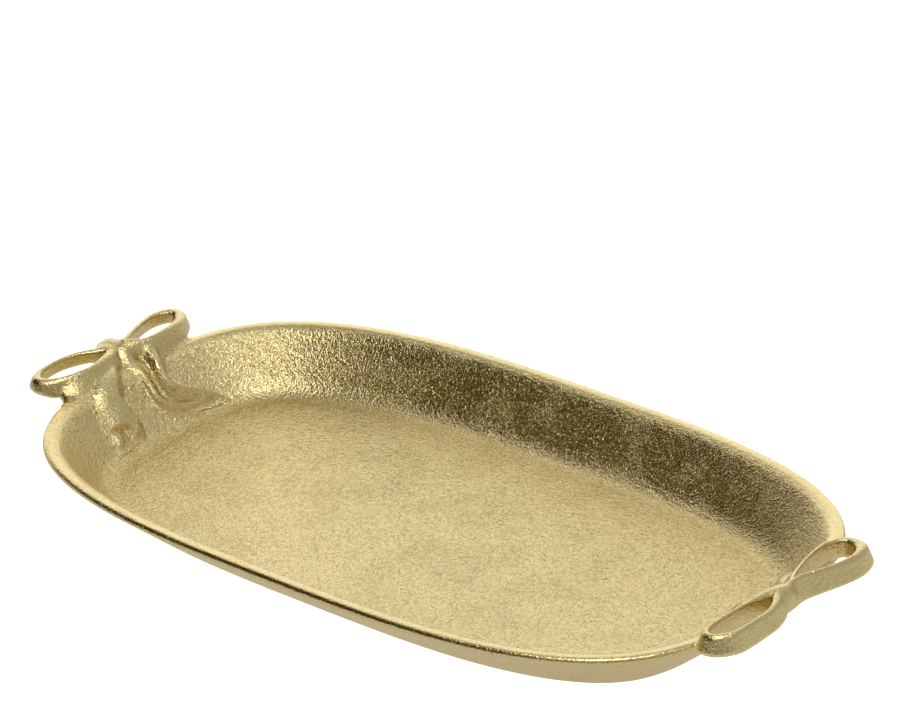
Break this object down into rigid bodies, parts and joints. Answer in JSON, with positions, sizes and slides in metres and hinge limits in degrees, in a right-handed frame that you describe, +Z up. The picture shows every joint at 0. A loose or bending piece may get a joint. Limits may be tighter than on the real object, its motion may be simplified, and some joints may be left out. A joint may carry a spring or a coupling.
{
  "type": "serving tray",
  "caption": "Shallow oval cast metal serving tray with a sloping wall, a rolled rim and a ribbon bow over the rim at each end as a handle.",
  "frame": {"origin": "on the surface that the tray stands on, under the middle of the pan", "axes": "+X along the tray to its right bow, +Y across it to its back, +Z up"},
  "size_m": [0.4497, 0.238, 0.0459],
  "materials": {
    "pan_brass": "sand-cast grain inside, rubbed smoother on the rim",
    "bow_brass": "cast, filed and rubbed bright on its ridges",
    "foot_rubber": "matt"
  },
  "bodies": {
    "root": {"pan": "pan_brass", "bow_left": "bow_brass", "bow_right": "bow_brass", "foot_back_left": "foot_rubber", "foot_back_right": "foot_rubber", "foot_front_left": "foot_rubber", "foot_front_right": "foot_rubber"}
  },
  "joints": []
}
